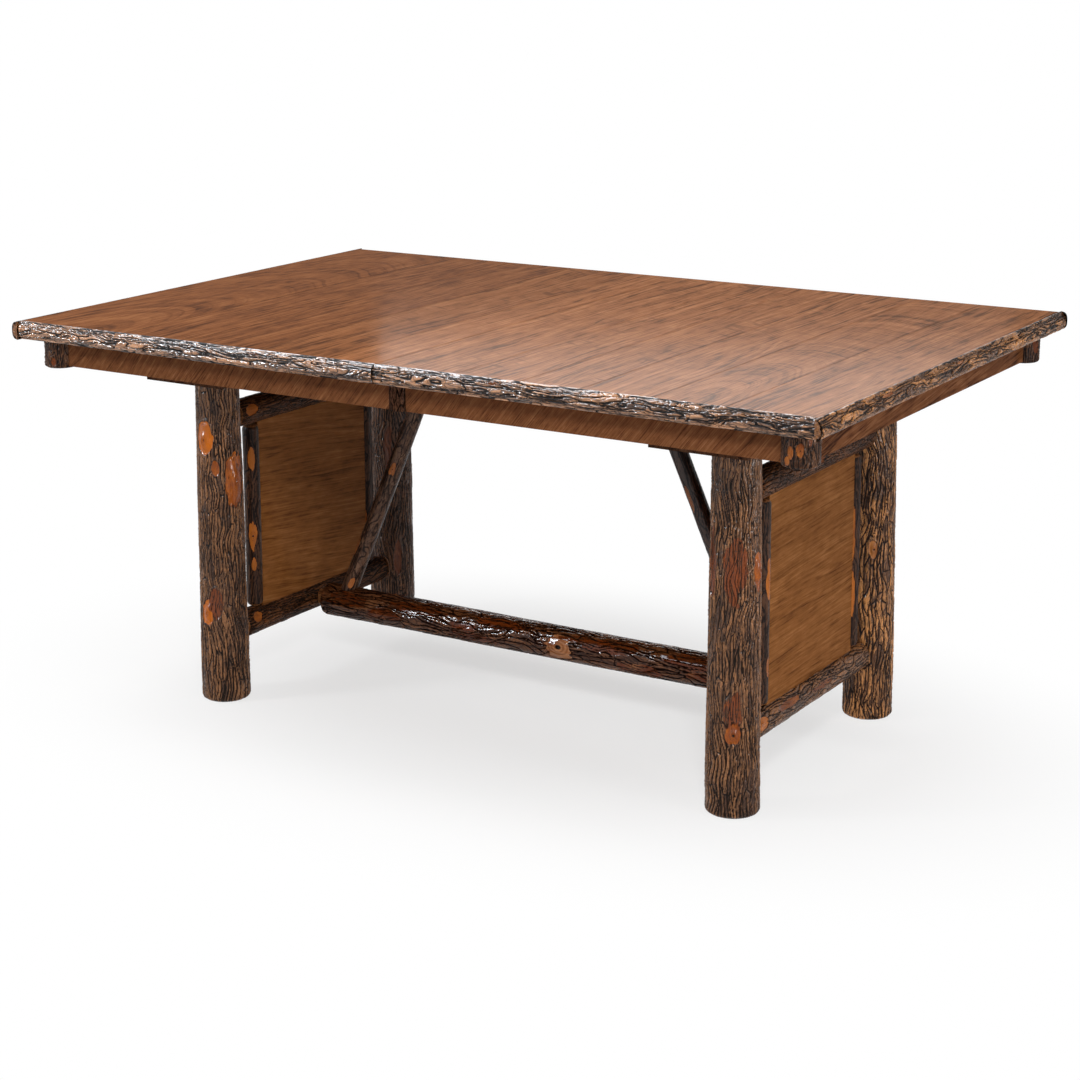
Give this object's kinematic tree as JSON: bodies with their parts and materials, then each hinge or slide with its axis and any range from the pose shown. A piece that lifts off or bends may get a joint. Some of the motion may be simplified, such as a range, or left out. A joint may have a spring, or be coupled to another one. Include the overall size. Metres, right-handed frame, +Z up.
{
  "type": "extension table",
  "caption": "Rustic hickory extension table: a bark-edged plank top split across the middle, sliding apart over a log trestle base with panels, a stretcher and diagonal braces.",
  "frame": {"origin": "on the floor, under the middle of the closed top", "axes": "+X along the table and along the slides, +Y across it towards its back, +Z up"},
  "size_m": [1.651, 1.092, 0.762],
  "materials": {
    "plank": "satin walnut-stained planks",
    "bark_trim": "hickory bark, varnished",
    "apron": "satin walnut-stained board",
    "post_bark": "hickory bark, varnished",
    "leg_bark": "ridged hickory bark, varnished",
    "crossbar_bark": "hickory bark, varnished",
    "stile_bark": "smooth sapling bark, varnished",
    "stretcher_bark": "hickory bark, glossy varnish, pale tapered ends",
    "brace_bark": "smooth sapling bark, varnished",
    "panel": "satin walnut-stained panel",
    "plate": "satin stained board",
    "slide_wood": "bare maple",
    "steel": "zinc plated"
  },
  "bodies": {
    "base": {"back_slide_rail": "slide_wood", "centre_bearer": "plate", "frame_screws": "steel", "front_slide_rail": "slide_wood", "left_back_leg": "leg_bark", "left_back_stile": "stile_bark", "left_brace": "brace_bark", "left_end_panel": "panel", "left_front_leg": "leg_bark", "left_front_stile": "stile_bark", "left_lower_crossbar": "crossbar_bark", "left_top_plate": "plate", "left_upper_crossbar": "crossbar_bark", "pinion_pin": "steel", "right_back_leg": "leg_bark", "right_back_stile": "stile_bark", "right_brace": "brace_bark", "right_end_panel": "panel", "right_front_leg": "leg_bark", "right_front_stile": "stile_bark", "right_lower_crossbar": "crossbar_bark", "right_top_plate": "plate", "right_upper_crossbar": "crossbar_bark", "stretcher": "stretcher_bark"},
    "left_top": {"left_back_apron": "apron", "left_back_corner_post": "post_bark", "left_back_trim": "bark_trim", "left_board_1": "plank", "left_board_2": "plank", "left_board_3": "plank", "left_board_4": "plank", "left_board_5": "plank", "left_end_apron": "apron", "left_end_trim": "bark_trim", "left_front_apron": "apron", "left_front_corner_post": "post_bark", "left_front_trim": "bark_trim", "left_joint_block": "post_bark", "left_rack_bar": "slide_wood", "left_runners": "slide_wood", "alignment_dowels": "slide_wood"},
    "right_top": {"right_back_apron": "apron", "right_back_corner_post": "post_bark", "right_back_trim": "bark_trim", "right_board_1": "plank", "right_board_2": "plank", "right_board_3": "plank", "right_board_4": "plank", "right_board_5": "plank", "right_board_6": "plank", "right_end_apron": "apron", "right_end_trim": "bark_trim", "right_front_apron": "apron", "right_front_corner_post": "post_bark", "right_front_trim": "bark_trim", "right_joint_block": "post_bark", "right_rack_bar": "slide_wood", "right_runners": "slide_wood"},
    "pinion": {"equalizer_pinion": "slide_wood"}
  },
  "joints": [
    {"name": "left_top_slide", "type": "slide", "parent": "base", "child": "left_top", "axis": [-1, 0, 0], "range_m": [0, 0.305]},
    {"name": "right_top_slide", "type": "slide", "parent": "base", "child": "right_top", "axis": [1, 0, 0], "range_m": [0, 0.305]},
    {"name": "pinion_spin", "type": "hinge", "parent": "base", "child": "pinion", "pos_m": [0, 0, 0.684], "axis": [0, 0, 1], "range_deg": [0, 547]}
  ],
  "couplings": [
    {"joint": "right_top_slide", "follows": "left_top_slide", "ratio": 1},
    {"joint": "pinion_spin", "follows": "left_top_slide", "rad_per_m": 31.25}
  ]
}
